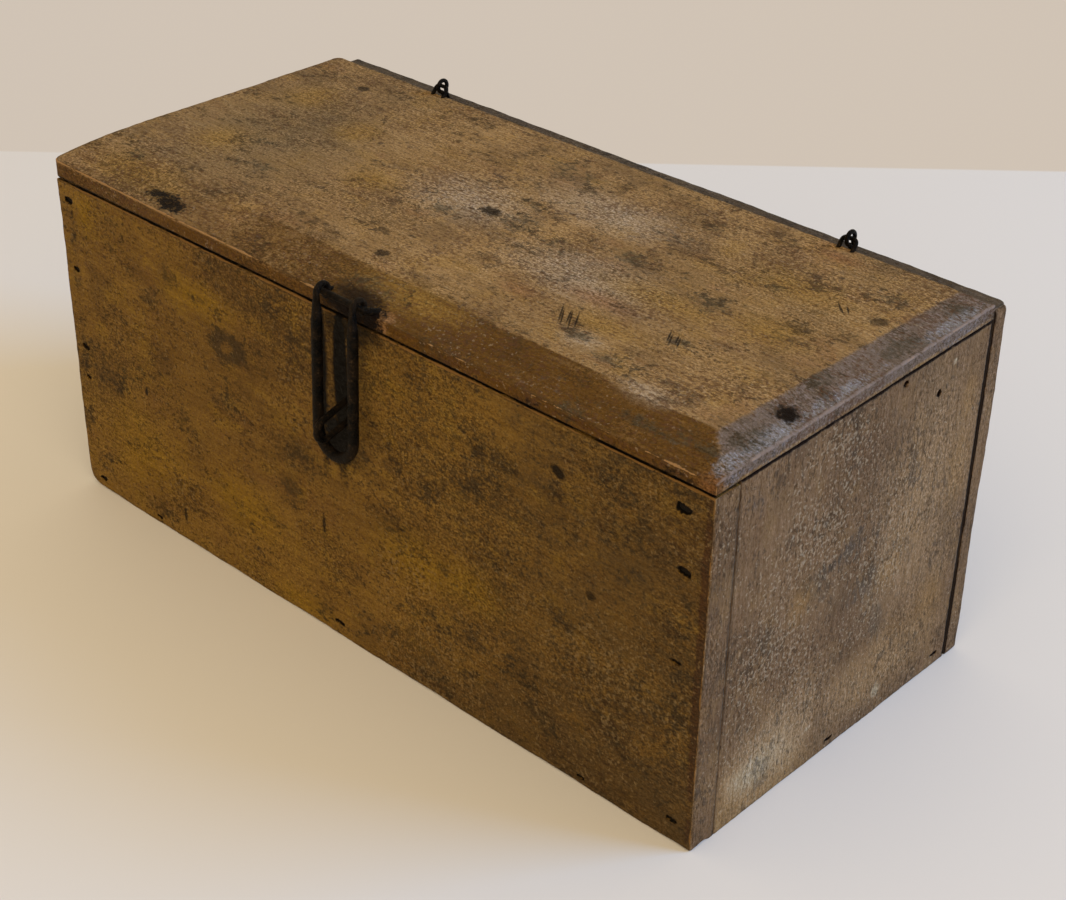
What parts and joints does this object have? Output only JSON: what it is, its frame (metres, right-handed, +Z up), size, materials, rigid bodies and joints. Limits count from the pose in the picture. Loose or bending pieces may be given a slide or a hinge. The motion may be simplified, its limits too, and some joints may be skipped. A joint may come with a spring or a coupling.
{
  "type": "carpenters tool chest",
  "caption": "Small painted wooden tool chest: nailed board box, hinged lid with planed bevels, wire hasp over a lock staple.",
  "frame": {"origin": "middle of the bottom face of the wooden box, on the surface that it stands on", "axes": "+X along the length, to the right seen from the front; +Y from the front, which has the hasp, to the back; +Z up"},
  "size_m": [0.408, 0.2169, 0.1922],
  "materials": {
    "worn_paint_walls": "worn matt ochre paint",
    "worn_paint_ends": "worn matt grey-brown paint",
    "worn_paint_lid": "worn matt tan paint",
    "bare_wood": "bare aged softwood",
    "dark_iron": "dark oxidised wrought wire",
    "nail_iron": "rusted cut nail"
  },
  "bodies": {
    "box": {"front_board": "worn_paint_walls", "back_board": "worn_paint_walls", "left_end": "worn_paint_ends", "right_end": "worn_paint_ends", "bottom_board": "bare_wood", "hinge_left_box_eye": "dark_iron", "hinge_right_box_eye": "dark_iron", "lock_staple": "dark_iron", "nails_front_left": "nail_iron", "nails_front_right": "nail_iron", "nails_front_bottom": "nail_iron", "nails_back_left": "nail_iron", "nails_back_right": "nail_iron", "nails_back_bottom": "nail_iron", "nails_left_end_bottom": "nail_iron", "nails_right_end_bottom": "nail_iron"},
    "lid": {"lid_board": "worn_paint_lid", "hinge_left_lid_eye": "dark_iron", "hinge_right_lid_eye": "dark_iron", "hasp_staple": "dark_iron"},
    "hasp": {"hasp": "dark_iron"}
  },
  "joints": [
    {"name": "lid_hinge", "type": "hinge", "parent": "box", "child": "lid", "pos_m": [0, 0.0882, 0.1882], "axis": [-1, 0, 0], "range_deg": [0, 234]},
    {"name": "hasp_swing", "type": "hinge", "parent": "lid", "child": "hasp", "pos_m": [0.0046, -0.1015, 0.18225], "axis": [-1, 0, 0], "range_deg": [0, 230]}
  ]
}
